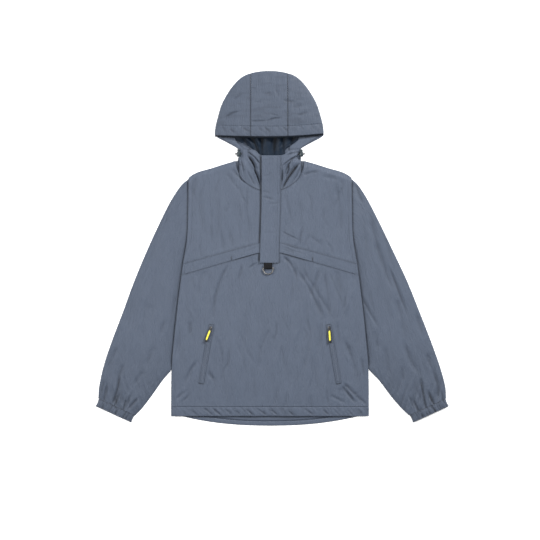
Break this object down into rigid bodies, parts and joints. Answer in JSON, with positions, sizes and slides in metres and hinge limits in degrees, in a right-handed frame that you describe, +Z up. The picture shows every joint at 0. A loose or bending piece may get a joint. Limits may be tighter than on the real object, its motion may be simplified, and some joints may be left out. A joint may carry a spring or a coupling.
{
  "type": "hooded anorak pullover laid flat",
  "caption": "Hooded anorak pullover laid flat on its back, with half placket, chest flaps, zipped side pockets, hinged zip pulls and D-ring.",
  "frame": {"origin": "on the surface it lies on, under the back panel, on the garment's centre line, level with the end of the front placket", "axes": "+Z up from the surface, out of the garment's front; +Y from the hem towards the hood; +X towards the garment's left sleeve, on the viewer's right"},
  "size_m": [0.9536, 0.9575, 0.019],
  "materials": {
    "shell": "matt crinkled blue-grey woven nylon",
    "lining": "dark navy woven lining",
    "black_tape": "black woven tape",
    "cord": "black braided elastic cord",
    "slider_metal": "black painted zip slider",
    "pull_black": "matt black moulded plastic",
    "pull_yellow": "soft yellow moulding",
    "ring_metal": "dark gunmetal",
    "lock_plastic": "dark blue-black glossy plastic"
  },
  "bodies": {
    "garment": {"back_body": "shell", "hem_back": "shell", "front_lower": "shell", "hem_front": "shell", "yoke_left": "shell", "yoke_right": "shell", "chest_flap_left": "shell", "chest_flap_right": "shell", "placket": "shell", "hood_strip_front": "shell", "hood_strip_back": "shell", "hood_side_left_front": "shell", "hood_side_left_back": "shell", "hood_side_right_front": "shell", "hood_side_right_back": "shell", "hood_throat_left": "shell", "hood_throat_right": "shell", "hood_facing_left": "shell", "hood_facing_right": "shell", "sleeve_left": "shell", "sleeve_right": "shell", "cuff_left": "shell", "cuff_right": "shell", "pocket_welt_left": "shell", "pocket_welt_right": "shell", "pocket_zip_left": "shell", "pocket_zip_right": "shell", "hood_lining": "lining", "front_zip": "black_tape", "ring_webbing": "black_tape", "lock_cord_left": "cord", "lock_cord_right": "cord", "zip_slider_left": "slider_metal", "zip_slider_right": "slider_metal", "cord_lock_left": "lock_plastic", "cord_lock_right": "lock_plastic"},
    "ring": {"d_ring": "ring_metal"},
    "pull_left": {"zip_pull_left": "pull_black", "pull_inlay_left": "pull_yellow"},
    "pull_right": {"zip_pull_right": "pull_black", "pull_inlay_right": "pull_yellow"}
  },
  "joints": [
    {"name": "ring_hinge", "type": "hinge", "parent": "garment", "child": "ring", "pos_m": [-0.005, 0.0086, 0.0099], "axis": [-1, 0, 0], "range_deg": [0, 150]},
    {"name": "pull_left_hinge", "type": "hinge", "parent": "garment", "child": "pull_left", "pos_m": [-0.15932, -0.15359, 0.01175], "axis": [-0.9342, 0.3567, 0], "range_deg": [0, 150]},
    {"name": "pull_right_hinge", "type": "hinge", "parent": "garment", "child": "pull_right", "pos_m": [0.15932, -0.15359, 0.01175], "axis": [-0.9982, -0.0593, 0], "range_deg": [0, 150]}
  ]
}
